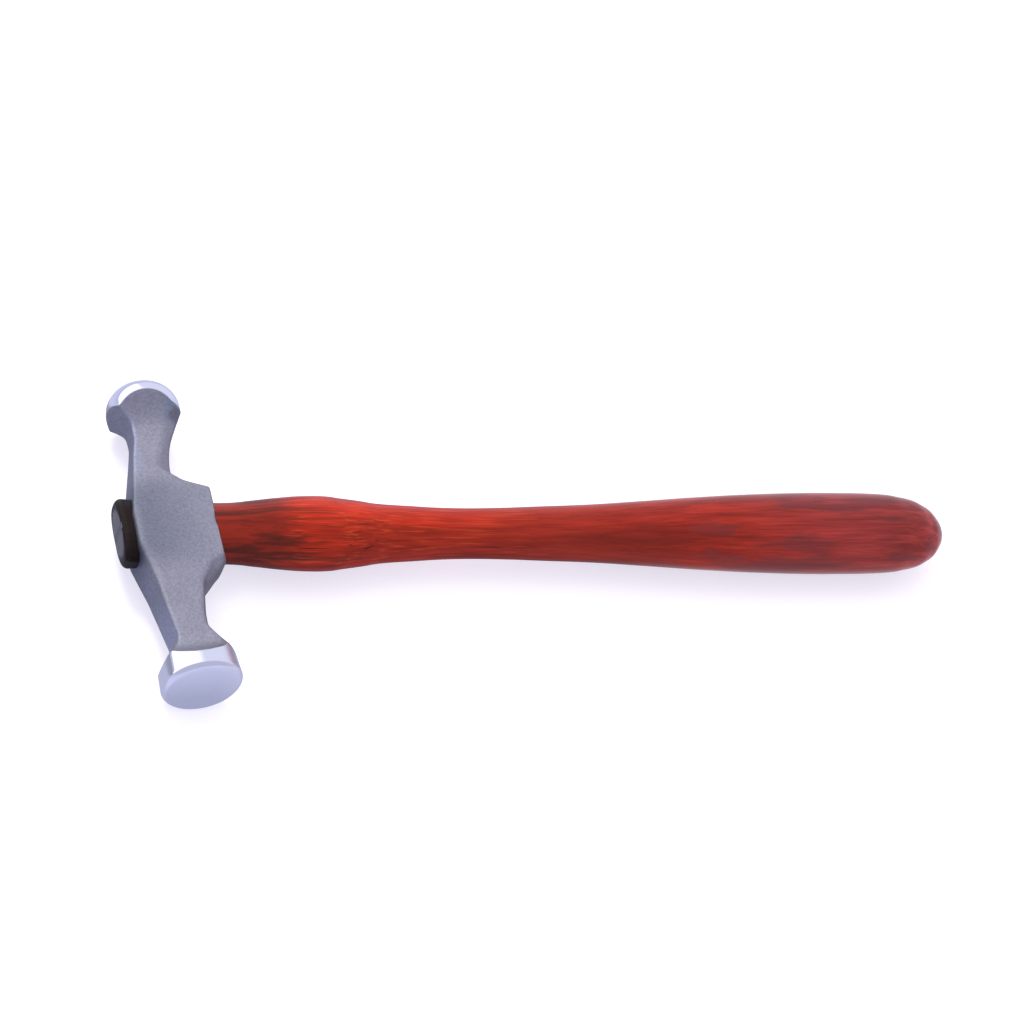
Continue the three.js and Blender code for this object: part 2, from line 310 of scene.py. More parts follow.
def blank_radius(along: np.ndarray) -> np.ndarray:
    """Radius of the turned blank between its two ends.

    Args:
        along: places along the head.

    Returns:
        The radius at each place.
    """
    h = HEAD
    places = [-h.flat_reach + h.flat_rim_reach, -h.flat_waist_share * h.flat_reach]
    radii = [h.flat_radius, h.flat_waist_radius]
    places += [-h.barrel_end_share * h.block_half, h.barrel_end_share * h.block_half]
    radii += [h.barrel_radius, h.barrel_radius]
    places += [h.dome_start_share * h.block_half, h.dome_reach - h.dome_depth]
    radii += [h.dome_radius, h.dome_radius]
    inner = np.interp(along, places, radii)
    rise = np.clip((along - places[-1]) / h.dome_depth, 0, 1)
    dome = h.dome_radius * np.maximum(1 - rise * rise, 0) ** (h.dome_fullness_share / 2)
    fall = np.clip((places[0] - along) / h.flat_rim_reach, 0, 1)
    rim = h.flat_radius - h.flat_rim_radius * (1 - np.sqrt(1 - fall * fall))
    return np.where(along > places[-1], dome, np.where(along < places[0], rim, inner))


def facet_radius(along: np.ndarray, turn: np.ndarray) -> np.ndarray:
    """Radius that the ground facets leave.

    Args:
        along: places along the head.
        turn: angles round the head, of the same shape.

    Returns:
        The radius at each place and angle.
    """
    left = np.full(along.shape, FAR)
    for facet in FACETS:
        distance = facet.distance(along)
        for angle in facet.angles:
            facing = np.cos(turn - angle)
            least = distance / FAR
            radius = np.where(facing > least, distance / np.maximum(facing, least), FAR)
            left = soft_least(left, radius, facet.softness)
    return left


def bowed(points: np.ndarray, sense: int = 1) -> np.ndarray:
    """Bows both ends of the head a little towards the handle, or takes that bow out again.

    Args:
        points: rows of x, y, z.
        sense: 1 to bow, -1 to straighten.

    Returns:
        The moved points.
    """
    moved = points.copy()
    if sense < 0:
        for _ in range(BOW_PASSES):
            moved = moved + points - bowed(moved)
        return moved
    share = points[:, 1] / HEAD.flat_reach
    slope = BOW_POWER * HEAD.end_bow * share ** (BOW_POWER - 1) / HEAD.flat_reach
    moved[:, 0] += HEAD.end_bow * share**BOW_POWER
    moved[:, 1] -= slope * points[:, 0]
    return moved


def eye_ring(place: float, gap: float) -> tuple[float, float, float]:
    """The eye's oval at one place along the handle.

    Args:
        place: place along the handle, from the head's axis.
        gap: how much smaller than the eye.

    Returns:
        Half-size along the head, half-size through it, and the place.
    """
    across = (place + HEAD.roof_half) / (HEAD.roof_half + HEAD.barrel_radius)
    long = EYE.roof_long + (EYE.handle_long - EYE.roof_long) * across - gap
    wide = EYE.roof_wide + (EYE.handle_wide - EYE.roof_wide) * across - gap
    return long, wide, place


def mesh_object(name: str, points: np.ndarray, faces: list[tuple[int, ...]]) -> Object:
    """Makes a mesh object at the origin.

    Args:
        name: the object's name.
        points: rows of x, y, z in millimetres.
        faces: point numbers of each face.

    Returns:
        The linked object.
    """
    mesh = bpy.data.meshes.new(name)
    mesh.from_pydata((points * MM).tolist(), [], faces)
    mesh.update()
    made = bpy.data.objects.new(name, mesh)
    bpy.context.scene.collection.objects.link(made)
    return made


def ring_stack(name: str, rings: np.ndarray, first: np.ndarray, last: np.ndarray) -> Object:
    """Makes a closed body through rings of points, with a middle point at each end.

    Args:
        name: the object's name.
        rings: points as rings, sides, coordinates.
        first: the middle point before the first ring.
        last: the middle point after the last ring.

    Returns:
        The linked object.
    """
    count, sides = rings.shape[:2]
    points = np.vstack([rings.reshape(-1, 3), first, last])
    start, end = count * sides, count * sides + 1
    side = np.arange(sides)
    after = (side + 1) % sides
    lower = np.arange(count - 1)[:, None] * sides
    quads = np.stack([lower + side, lower + sides + side, lower + sides + after, lower + after], axis=-1)
    faces = [tuple(row) for row in quads.reshape(-1, 4).tolist()]
    faces += [(start, a, b) for a, b in zip(side.tolist(), after.tolist())]
    top = (count - 1) * sides
    faces += [(end, top + b, top + a) for a, b in zip(side.tolist(), after.tolist())]
    return mesh_object(name, points, faces)


def oval_loft(name: str, rings: list[tuple[float, float, float]], sides: int) -> Object:
    """Makes a body through the eye's squared ovals along the handle.

    Args:
        name: the object's name.
        rings: half-size along the head, half-size through it and place of each oval.
        sides: points in each oval.

    Returns:
        The linked object.
    """
    turn = -np.linspace(0, 2 * math.pi, sides, endpoint=False)
    plain_oval = np.array([np.cos(turn), np.sin(turn)])
    oval = np.sign(plain_oval) * np.abs(plain_oval) ** EYE.squareness
    stack = [
        np.stack([np.full(sides, place), long * oval[0], wide * oval[1]], axis=1)
        for long, wide, place in rings
    ]
    first = np.array([rings[0][2], 0, 0])
    last = np.array([rings[-1][2], 0, 0])
    return ring_stack(name, np.array(stack), first, last)


def plain(made: Object) -> None:
    """Turns an object's modifiers into plain mesh.

    Args:
        made: the object.
    """
    graph = bpy.context.evaluated_depsgraph_get()
    mesh = bpy.data.meshes.new_from_object(made.evaluated_get(graph), depsgraph=graph)
    made.modifiers.clear()
    made.data = mesh
    mesh.name = made.name


def cut(made: Object, tool: Object, what: Cut) -> None:
    """Cuts or joins a tool, which is used up.

    Args:
        made: the object that is changed.
        tool: the object that cuts it or is joined to it.
        what: which of the three.
    """
    step = made.modifiers.new("cut", "BOOLEAN")
    step.operation = what.value
    step.solver = "MANIFOLD"
    step.object = tool
    bpy.context.view_layer.update()
    plain(made)
    bpy.data.objects.remove(tool)


def settled(made: Object, origin: Vector, finish: Material, piece: Piece) -> Object:
    """Finishes a piece: material, smooth shading with creases and place in the frame; hides the CAD node it
    replaces.

    Args:
        made: the object, whose points are still about the working origin.
        origin: the frame place of the working origin, in metres.
        finish: its material.
        piece: the CAD node that it replaces.

    Returns:
        The same object.
    """
    made.data.materials.clear()
    made.data.materials.append(finish)
    made.data.shade_smooth()
    made.data.set_sharp_from_angle(angle=CREASE)
    made.data.transform(Matrix.Translation(origin))
    made.data.update()
    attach(made, "root")
    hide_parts(piece.value)
    return made


def tenon_body(name: str) -> Object:
    """Makes the tenon with its rounded end.

    Args:
        name: the object's name.

    Returns:
        The tenon.
    """
    rings = []
    for turn in np.linspace(0, RIGHT, TENON_ROUND_RINGS):
        long, wide, place = eye_ring(TENON_END + HANDLE.tenon_round * (1 - math.cos(turn)), EYE.fit)
        inset = HANDLE.tenon_round * (1 - math.sin(turn))
        rings.append((long - inset, wide - inset, place))
    low, high = TENON_END + 2 * HANDLE.tenon_round, HEAD.barrel_radius + HANDLE.tenon_proud
    for place in np.linspace(low, high, TENON_RINGS):
        rings.append(eye_ring(place, EYE.fit))
    return oval_loft(name, rings, TENON_SIDES)


@dataclass(frozen=True)
class WedgeShape:
    """A wedge: thickness at the tenon's end and at its tip, depth, half its width, and which way it lies.

    A turned wedge lies along the head, the other one across it.
    """

    thick: float
    tip: float
    deep: float
    half_wide: float
    turned: bool

    def body(self, name: str, growth: float = 0.0) -> Object:
        """Makes the wedge, carried on past the tenon's end, or the tool that saws its kerf.

        Args:
            name: the object's name.
            growth: how much larger all round than the wedge.

        Returns:
            The body.
        """
        past = 2 * HANDLE.tenon_proud
        open_half = self.thick / 2 + (self.thick - self.tip) / (2 * self.deep) * past + growth
        stations = ((TENON_END - past, open_half), (TENON_END + self.deep + growth, self.tip / 2 + growth))
        points = []
        for place, half in stations:
            for across, through in ((-1, -1), (1, -1), (1, 1), (-1, 1)):
                one, other = half * across, (self.half_wide + growth) * through
                points.append((place, other, one) if self.turned else (place, one, other))
        faces = [(0, 1, 2, 3), (7, 6, 5, 4), (0, 4, 5, 1), (1, 5, 6, 2), (2, 6, 7, 3), (3, 7, 4, 0)]
        if not self.turned:
            faces = [tuple(reversed(face)) for face in faces]
        return mesh_object(name, np.array(points), faces)


STEEL_TIP = 0.7
TIMBER = WedgeShape(thick=2.4, tip=0.9, deep=17.0, half_wide=2 * EYE.roof_long, turned=True)
STEEL = WedgeShape(
    thick=1.9, tip=STEEL_TIP, deep=10.0, half_wide=EYE.roof_wide - EYE.gap - STEEL_TIP, turned=False)


@dataclass(frozen=True)
class Span:
    """A smooth change of a value: where it starts and ends, and the results there."""

    low: float
    high: float
    start: float = 0.0
    end: float = 1.0


@dataclass(frozen=True)
class Grain:
    """Noise in a material: waves per metre along the handle and across it, levels, roughness, distortion."""

    along: float
    across: float
    detail: float = 3.0
    rough: float = 0.5
    twist: float = 0.0


@dataclass
class Tree:
    """A small helper that adds and links shader or geometry nodes."""

    tree: bpy.types.NodeTree

    def add(self, kind: str, values: dict | None = None, **settings: object) -> bpy.types.Node:
        """Adds a node.

        Args:
            kind: the node's type name.
            values: value or socket for each input, by name or number.
            settings: properties of the node itself.

        Returns:
            The new node.
        """
        node = self.tree.nodes.new(kind)
        for name, value in settings.items():
            setattr(node, name, value)
        for key, value in (values or {}).items():
            if isinstance(value, Socket):
                self.tree.links.new(value, node.inputs[key])
            else:
                node.inputs[key].default_value = value
        return node

    def math(self, operation: str, first: object, second: object = 0.0) -> Socket:
        """Adds a math node.

        Args:
            operation: what it works out.
            first: value or socket.
            second: value or socket.

        Returns:
            The result socket.
        """
        return self.add("ShaderNodeMath", {0: first, 1: second}, operation=operation).outputs[0]

    def product(self, *factors: object) -> Socket:
        """Multiplies values.

        Args:
            factors: two or more values or sockets.

        Returns:
            The result socket.
        """
        result = factors[0]
        for factor in factors[1:]:
            result = self.math("MULTIPLY", result, factor)
        return result

    def ranged(self, value: object, span: Span) -> Socket:
        """Maps a value by a span, without going past its ends.

        Args:
            value: the socket.
            span: the change.

        Returns:
            The result socket.
        """
        values = {0: value, 1: span.low, 2: span.high, 3: span.start, 4: span.end}
        return self.add("ShaderNodeMapRange", values, interpolation_type="SMOOTHSTEP").outputs[0]

    def places(self, origin: Vector) -> tuple[Socket, ...]:
        """Reads the place on a piece in millimetres from a point of the frame.

        Args:
            origin: that point, in metres.

        Returns:
            The sockets of x, y and z.
        """
        place = self.add("ShaderNodeTexCoord").outputs["Object"]
        moved = self.add("ShaderNodeVectorMath", {0: place, 1: origin}, operation="SUBTRACT").outputs[0]
        scaled = self.add("ShaderNodeVectorMath", {0: moved, "Scale": 1 / MM}, operation="SCALE").outputs[0]
        return tuple(self.add("ShaderNodeSeparateXYZ", {0: scaled}).outputs)

    def noise(self, grain: Grain) -> Socket:
        """Adds noise over the piece, stretched along the handle.

        Args:
            grain: the kind of noise.

        Returns:
            The value socket.
        """
        place = self.add("ShaderNodeTexCoord").outputs["Object"]
        scale = (grain.along, grain.across, grain.across)
        stretched = self.add("ShaderNodeMapping", {"Vector": place, "Scale": scale}).outputs[0]
        return self.add("ShaderNodeTexNoise", {
            "Vector": stretched, "Scale": 1.0, "Detail": grain.detail, "Roughness": grain.rough,
            "Distortion": grain.twist}).outputs[0]

    def mixed(self, share: object, first: object, second: object, blend: str = "MIX") -> Socket:
        """Mixes two colours.

        Args:
            share: how much of the second.
            first: colour or socket.
            second: colour or socket.
            blend: the way they are mixed.

        Returns:
            The colour socket.
        """
        values = {0: share, 6: opaque(first), 7: opaque(second)}
        return self.add("ShaderNodeMix", values, data_type="RGBA", blend_type=blend).outputs[2]

    def dimmed(self, colour: object, level: Socket) -> Socket:
        """Multiplies a colour by a level.

        Args:
            colour: colour or socket.
            level: the level's socket.

        Returns:
            The colour socket.
        """
        grey = self.add("ShaderNodeCombineColor", {0: level, 1: level, 2: level}).outputs[0]
        return self.mixed(1.0, colour, grey, "MULTIPLY")

    def ramp(self, value: object, stops: list[tuple[float, Colour]]) -> Socket:
        """Adds a colour ramp.

        Args:
            value: the socket.
            stops: place and colour of each stop.

        Returns:
            The colour socket.
        """
        node = self.add("ShaderNodeValToRGB", {0: value})
        elements = node.color_ramp.elements
        while len(elements) < len(stops):
            elements.new(0.5)
        for element, (place, colour) in zip(elements, stops):
            element.position = place
            element.color = opaque(colour)
        return node.outputs[0]

    def surface(self, **values: object) -> Socket:
        """Adds a principled shader.

        Args:
            values: its inputs by name, with underscores for the spaces.

        Returns:
            The shader socket.
        """
        named = {name.replace("_", " "): opaque(value) for name, value in values.items()}
        return self.add("ShaderNodeBsdfPrincipled", named).outputs[0]

    def bump(self, height: Socket, depth: float, strength: float = 1.0) -> Socket:
        """Adds a bump.

        Args:
            height: the socket of the heights.
            depth: how deep it goes, in millimetres.
            strength: how much of it shows.

        Returns:
            The normal socket.
        """
        values = {"Strength": strength, "Distance": depth * MM, "Height": height}
        return self.add("ShaderNodeBump", values).outputs[0]

    def shaded(self, share: object, first: object, second: object) -> Socket:
        """Mixes two shaders.

        Args:
            share: how much of the second.
            first: the first shader's socket.
            second: the second shader's socket.

        Returns:
            The shader socket.
        """
        return self.add("ShaderNodeMixShader", {0: share, 1: first, 2: second}).outputs[0]


def opaque(value: object) -> object:
    """Gives a typed colour its fourth number and leaves anything else as it is.

    Args:
        value: a colour, number or socket.

    Returns:
        The value for an input.
    """
    return (*value, 1) if isinstance(value, tuple) else value


def new_material(name: str) -> tuple[Material, Tree]:
    """Makes an empty material.

    Args:
        name: the material's name.

    Returns:
        The material and its tree.
    """
    material = bpy.data.materials.new(name)
    material.use_nodes = True
    material.node_tree.nodes.clear()
    return material, Tree(material.node_tree)


def finished(material: Material, tree: Tree, shader: Socket) -> Material:
    """Gives a material its surface.

    Args:
        material: the material.
        tree: its tree.
        shader: the shader socket.

    Returns:
        The same material.
    """
    tree.add("ShaderNodeOutputMaterial", {"Surface": shader})
    return material


@dataclass(frozen=True)
class SteelFinish:
    """Satin steel on the facets and polished steel on the turned ends. Places are in millimetres."""

    satin: Colour = (0.48, 0.47, 0.535)
    satin_dark: Colour = (0.365, 0.36, 0.415)
    satin_rough: float = 0.50
    satin_depth: Span = Span(-0.01, 0.03)
    fine: Grain = Grain(1500, 1500, rough=0.7)
    broad: Grain = Grain(160, 160, detail=4.0)
    broad_share: float = 0.15
    speck: Span = Span(0.34, 0.66)
    bead_depth: float = 0.03
    polish: Colour = (0.86, 0.87, 0.97)
    polish_rough: Span = Span(1, 7, 0.07, 0.36)
    # Painted shade: the satin is darker round the eye, most towards the roof beside the stub.
    painted_eye_shade: Colour = (0.66, 0.69, 0.73)
    eye_x: Span = Span(-8, 13, 1.0, 0.0)
    eye_y: Span = Span(8, 18, 1.0, 0.0)
    # Painted reflection: a cool tint that paints out the red handle's reflection on the handle side near the
    # dome.
    painted_cool_reflection: Colour = (0.78, 0.94, 0.98)
    cool_x: Span = Span(2, 6)
    cool_y: Span = Span(32, 36)
    # Painted reflection: a lighter, bluer tint on the roof side's facets below the upper cheek.
    painted_roof_reflection: Colour = (1.03, 1.09, 1.19)
    roof_x: Span = Span(-5, -3.5, 1.0, 0.0)
    roof_z: Span = Span(3.6, 5.8, 1.0, 0.0)

    def material(self, origin: Vector) -> Material:
        """Makes the steel.

        Args:
            origin: the frame place of the working origin.

        Returns:
            The material, which reads the attribute facet_depth in millimetres.
        """
        made, tree = new_material(Slot.HEAD_STEEL.value)
        x, y, z = tree.places(origin)
        fine = tree.noise(self.fine)
        speck = tree.math("ADD", tree.product(fine, 1 - self.broad_share),
                          tree.product(tree.noise(self.broad), self.broad_share))
        colour = tree.mixed(tree.ranged(speck, self.speck), self.satin_dark, self.satin)
        from_eye = tree.math("ABSOLUTE", y)
        # Painted light on the satin: reflection tints on the roof side and near the dome, and shade round the
        # eye.
        for shade, first, second in (
            (self.painted_roof_reflection, tree.ranged(x, self.roof_x), tree.ranged(z, self.roof_z)),
            (self.painted_eye_shade, tree.ranged(x, self.eye_x), tree.ranged(from_eye, self.eye_y)),
            (self.painted_cool_reflection, tree.ranged(x, self.cool_x), tree.ranged(y, self.cool_y)),
        ):
            colour = tree.mixed(tree.product(first, second), colour, shade, "MULTIPLY")
        dull = tree.surface(Base_Color=colour, Metallic=1.0, Roughness=self.satin_rough,
                            Normal=tree.bump(fine, self.bead_depth))
        rough = tree.ranged(x, self.polish_rough)
        bright = tree.surface(Base_Color=self.polish, Metallic=1.0, Roughness=rough)
        depth = tree.add("ShaderNodeAttribute", attribute_name="facet_depth").outputs["Fac"]
        return finished(made, tree, tree.shaded(tree.ranged(depth, self.satin_depth), bright, dull))


@dataclass(frozen=True)
class PlainFinish:
    """A finish of one colour with faint mottling, for the wedges and for the painted highlight on the tenon's
    lacquered end.
    """

    colour: Colour
    metallic: float
    rough: float
    ior: float = 1.5
    coat: float = 0.0
    mottle: Span = Span(0.3, 0.7, 0.7, 1.1)
    mottle_grain: Grain = Grain(900, 900)

    def shader(self, tree: Tree) -> Socket:
        """Adds the finish to a material's tree.

        Args:
            tree: the tree.

        Returns:
            The shader socket.
        """
        level = tree.ranged(tree.noise(self.mottle_grain), self.mottle)
        return tree.surface(Base_Color=tree.dimmed(self.colour, level), Metallic=self.metallic,
                            Roughness=self.rough, IOR=self.ior, Coat_Weight=self.coat)


OILED_END = PlainFinish((0.016, 0.009, 0.008), 0.0, 0.42)
FILED_STEEL = PlainFinish((0.30, 0.30, 0.35), 1.0, 0.45)


@dataclass(frozen=True)
class EndLacquerHighlight:
    """Bluish glossy lacquer as a painted highlight on the middle of the tenon's end: finish, spread over the
    oval, depth.
    """

    # Painted highlight: a glossier, bluish finish kept to the middle of the end, the rim left dark.
    finish: PlainFinish = PlainFinish((0.045, 0.047, 0.070), 0.0, 0.25, 1.7, 0.6)
    spread: Span = Span(0.42, 0.62, 1.0, 0.0)
    depth: Span = Span(1.5, 2.9, 1.0, 0.0)

    def over(self, tree: Tree, origin: Vector, shader: Socket) -> Socket:
        """Lays the lacquer's painted highlight over a wood.

        Args:
            tree: the material's tree.
            origin: the frame place of the working origin.
            shader: the wood's shader.

        Returns:
            The shader socket.
        """
        x, y, z = tree.places(origin)
        across = tree.math("DIVIDE", y, EYE.roof_long)
        through = tree.math("DIVIDE", z, EYE.roof_wide)
        middle = tree.math("ADD", tree.product(across, across), tree.product(through, through))
        deep = tree.math("SUBTRACT", x, TENON_END)
        share = tree.product(tree.ranged(middle, self.spread), tree.ranged(deep, self.depth))
        return tree.shaded(share, shader, self.finish.shader(tree))


@dataclass(frozen=True)
class Marks:
    """Marks in the wood: their colour, the grains that make them, and where along the handle they are."""

    colour: Colour
    grains: tuple[tuple[Grain, Span], ...]
    reach: tuple[Span, ...]


OFF_TENON = Span(0.085, 0.10)
BROWN_STREAKS = Marks(
    (0.045, 0.012, 0.007), ((Grain(30, 420, 4.0, twist=0.1), Span(0.47, 0.60)),),
    (Span(0.17, 0.30, 0.65, 0.0), OFF_TENON))
DULL_PATCHES = Marks(
    (0.17, 0.036, 0.040), ((Grain(48, 230), Span(0.49, 0.61)),), (Span(0.55, 0.75, 0.0, 0.6),))
PALE_FIBRES = Marks(
    (0.74, 0.095, 0.026), ((Grain(55, 1900, 2.0), Span(0.52, 0.70)),),
    (Span(0.165, 0.20, 0.0, 0.36), Span(0.40, 0.62, 1.0, 0.0)))
DARK_PORES = Marks(
    (0.07, 0.011, 0.007), ((Grain(40, 1700, 1.0), Span(0.63, 0.70)), (Grain(30, 160, 1.0), Span(0.57, 0.63))),
    (Span(0.55, 0.70, 1.0, 0.0), OFF_TENON))


@dataclass(frozen=True)
class WoodFinish:
    """Lacquered red hardwood: tones from the tenon to the butt, each between its own places, grain and marks.

    Places along the handle are shares of its whole length, and painted_low_shade_y is in millimetres from its
    axis.
    """

    tones_and_butt_sheen: tuple[tuple[Colour, tuple[float, ...]], ...] = (
        ((0.010, 0.005, 0.004), (0.0, 0.085)),
        ((0.25, 0.019, 0.009), (0.10, 0.165)),
        ((0.47, 0.025, 0.008), (0.20, 0.34)),
        ((0.40, 0.027, 0.014), (0.50, 0.70)),
        # Painted sheen: the last two tones make the wood greyer and pinker towards the butt.
        ((0.38, 0.044, 0.040), (0.86, 0.95)),
        ((0.56, 0.075, 0.078), (0.99,)),
    )
    # Painted shade: the wood is darker along the lower side of the handle's middle.
    painted_low_shade: Colour = (0.14, 0.014, 0.008)
    painted_low_shade_y: Span = Span(-5, -1, 1.0, 0.0)
    painted_low_shade_reach: tuple[Span, ...] = (Span(0.20, 0.32), Span(0.58, 0.74, 0.40, 0.0))
    fibre: Grain = Grain(75, 1900, rough=0.65)
    fibre_level: Span = Span(0.32, 0.68, 1.16, 0.84)
    fibre_depth: float = 0.05
    fibre_strength: float = 0.3
    levels: tuple[tuple[Grain, Span], ...] = (
        (Grain(20, 200, 2.0, twist=0.2), Span(0.36, 0.64, 1.10, 0.84)),
        (Grain(28, 640, 4.0, 0.6, 0.15), Span(0.32, 0.68, 1.16, 0.78)),
    )
    marks: tuple[Marks, ...] = (BROWN_STREAKS, DULL_PATCHES, PALE_FIBRES, DARK_PORES)
    rough: float = 0.42
    specular: float = 0.10
    coat: float = 1.0
    coat_ior: float = 1.16
    coat_rough: float = 0.25
    lacquer: EndLacquerHighlight = EndLacquerHighlight()

    def material(self, origin: Vector) -> Material:
        """Makes the wood.

        Args:
            origin: the frame place of the working origin.

        Returns:
            The material, whose colours change along the handle.
        """
        made, tree = new_material(Slot.HANDLE_WOOD.value)
        along, across, _ = tree.places(origin)
        share = tree.add("ShaderNodeMapRange", {0: along, 1: TENON_END, 2: HANDLE.butt_reach}).outputs[0]
        fibre = tree.noise(self.fibre)
        levels = [tree.ranged(tree.noise(grain), span) for grain, span in self.levels]
        level = tree.product(*levels, tree.ranged(fibre, self.fibre_level))
        stops = [(place, colour) for colour, places in self.tones_and_butt_sheen for place in places]
        tone = tree.dimmed(tree.ramp(share, stops), level)
        # Painted shade on the lower side.
        low = [tree.ranged(across, self.painted_low_shade_y)] + [tree.ranged(share, span) for span in self.painted_low_shade_reach]
        tone = tree.mixed(tree.product(*low), tone, self.painted_low_shade)
        for marks in self.marks:
            shown = [tree.ranged(tree.noise(grain), span) for grain, span in marks.grains]
            shown += [tree.ranged(share, span) for span in marks.reach]
            tone = tree.mixed(tree.product(*shown), tone, marks.colour)
        wood = tree.surface(
            Base_Color=tone, Roughness=self.rough, Specular_IOR_Level=self.specular, Coat_Weight=self.coat,
            Coat_IOR=self.coat_ior, Coat_Roughness=self.coat_rough,
            Normal=tree.bump(fibre, self.fibre_depth, self.fibre_strength))
        return finished(made, tree, self.lacquer.over(tree, origin, wood))


@dataclass
class HammerHead:
    """The head: a turned blank with ground facets and a tapered oval eye."""

    origin: Vector
    finish: SteelFinish = SteelFinish()
    sides: int = 240
    step: float = 0.3
    dome_rings: int = 36
    face_rings: int = 8
    rim_rings: int = 10
    eye_sides: int = 120

    def stations(self) -> np.ndarray:
        """Places of the rings along the head, from the flat face's rim to just before the dome's top.

        Returns:
            The places in millimetres.
        """
        h = HEAD
        rim_turn = np.linspace(0, RIGHT, self.rim_rings, endpoint=False)
        rim = -h.flat_reach + h.flat_rim_reach * (1 - np.cos(rim_turn))
        low, high = -h.flat_reach + h.flat_rim_reach, h.dome_reach - h.dome_depth
        shaft = np.linspace(low, high, round((high - low) / self.step), endpoint=False)
        dome_turn = np.linspace(0, RIGHT, self.dome_rings, endpoint=False)
        dome = high + h.dome_depth * np.sin(dome_turn)
        return np.concatenate([rim, shaft, dome])

    def build(self) -> Object:
        """Makes the head.

        Returns:
            The finished object in the frame.
        """
        turns = np.linspace(0, 2 * math.pi, self.sides, endpoint=False)
        along, turn = np.meshgrid(self.stations(), turns, indexing="ij")
        blank = blank_radius(along)
        radius = soft_least(facet_radius(along, turn), blank, HEAD.rim_softness)
        shares = np.linspace(0, 1, self.face_rings, endpoint=False)[1:]
        face = shares[:, None] * radius[0][None, :]
        radius = np.vstack([face, radius])
        turn = np.vstack([turn[: len(shares)], turn])
        along = np.vstack([np.full(face.shape, -HEAD.flat_reach), along])
        rings = np.stack([radius * np.cos(turn), along, radius * np.sin(turn)], axis=-1)
        rings = bowed(rings.reshape(-1, 3)).reshape(rings.shape)
        ends = bowed(np.array([(0, -HEAD.flat_reach, 0), (0, HEAD.dome_reach, 0)]))
        head = ring_stack("steel_head", rings, *ends)
        reach = 2 * HEAD.barrel_radius
        eye = oval_loft("eye_tool", [eye_ring(-reach, 0), eye_ring(reach, 0)], self.eye_sides)
        cut(head, eye, Cut.TAKE_AWAY)
        self._mark_facets(head)
        return settled(head, self.origin, self.finish.material(self.origin), Piece.HEAD)

    @staticmethod
    def _mark_facets(made: Object) -> None:
        """Writes how deep the facets lie under the turned blank at every point, for the finish to read.

        Args:
            made: the head, bowed and with its eye.
        """
        flat = np.empty(3 * len(made.data.vertices), dtype=np.float32)
        made.data.vertices.foreach_get("co", flat)
        points = bowed(flat.reshape(-1, 3).astype(float) / MM, sense=-1)
        along = points[:, 1]
        turn = np.arctan2(points[:, 2], points[:, 0])
        depth = blank_radius(along) - facet_radius(along, turn)
        on_face = along < -HEAD.flat_reach + HEAD.flat_rim_radius / 2
        inside = (along > 0) & (along < HEAD.polish_start_share * HEAD.dome_reach)
        depth = np.where(on_face, -1.0, np.where(inside, 1.0, np.clip(depth, -1.0, 1.0)))
        mark = made.data.attributes.new("facet_depth", "FLOAT", "POINT")
        mark.data.foreach_set("value", depth.astype(np.float32))


